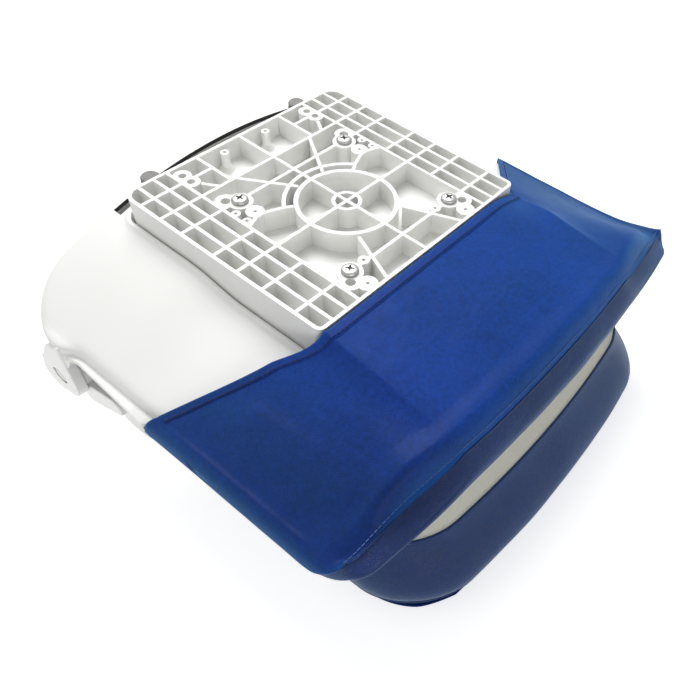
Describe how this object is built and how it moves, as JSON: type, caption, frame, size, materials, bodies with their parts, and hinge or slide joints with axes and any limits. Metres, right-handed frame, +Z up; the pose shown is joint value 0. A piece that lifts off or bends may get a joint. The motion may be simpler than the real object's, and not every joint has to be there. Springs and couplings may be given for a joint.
{
  "type": "folding bleacher seat",
  "caption": "Padded clamshell folding seat, drawn folded and upside down on its backrest, with moulded shells, vinyl covers and a ribbed square mounting block.",
  "frame": {"origin": "middle of the bounding box at the floor the folded seat lies on", "axes": "X across the seat, the hinge at +Y and the front edges at -Y, Z up; the mounting block faces up, tipped 7.06 degrees forward"},
  "size_m": [0.478, 0.4218, 0.2471],
  "materials": {
    "shell": "white moulded plastic with a fine satin texture",
    "blue_vinyl": "royal blue grained vinyl, sewn",
    "cream_vinyl": "cream grained vinyl, sewn",
    "foam": "cut seat foam, hidden under the covers",
    "board": "plain plywood, hidden",
    "rubber": "dark grey moulded rubber",
    "bush": "black bearing plastic",
    "steel": "zinc plated steel"
  },
  "bodies": {
    "backrest": {"back_shell": "shell", "back_board": "board", "back_board_screws": "steel", "back_foam": "foam", "back_panel": "cream_vinyl", "back_boxing": "blue_vinyl", "back_pocket": "blue_vinyl", "back_hem": "blue_vinyl", "bush_left": "bush", "bush_right": "bush", "washer_left": "steel", "washer_right": "steel"},
    "seat": {"seat_shell": "shell", "mount_block": "shell", "block_screws": "steel", "block_nuts": "steel", "seat_board": "board", "seat_board_screws": "steel", "seat_foam": "foam", "seat_panel": "cream_vinyl", "seat_boxing": "blue_vinyl", "seat_pocket": "blue_vinyl", "seat_hem": "blue_vinyl", "bumpers": "rubber", "pin_left": "steel", "pin_right": "steel", "nut_left": "steel", "nut_right": "steel"}
  },
  "joints": [
    {"name": "fold_hinge", "type": "hinge", "parent": "backrest", "child": "seat", "pos_m": [0, 0.17248, 0.12144], "axis": [-1, 0, 0], "range_deg": [0, 98]}
  ]
}
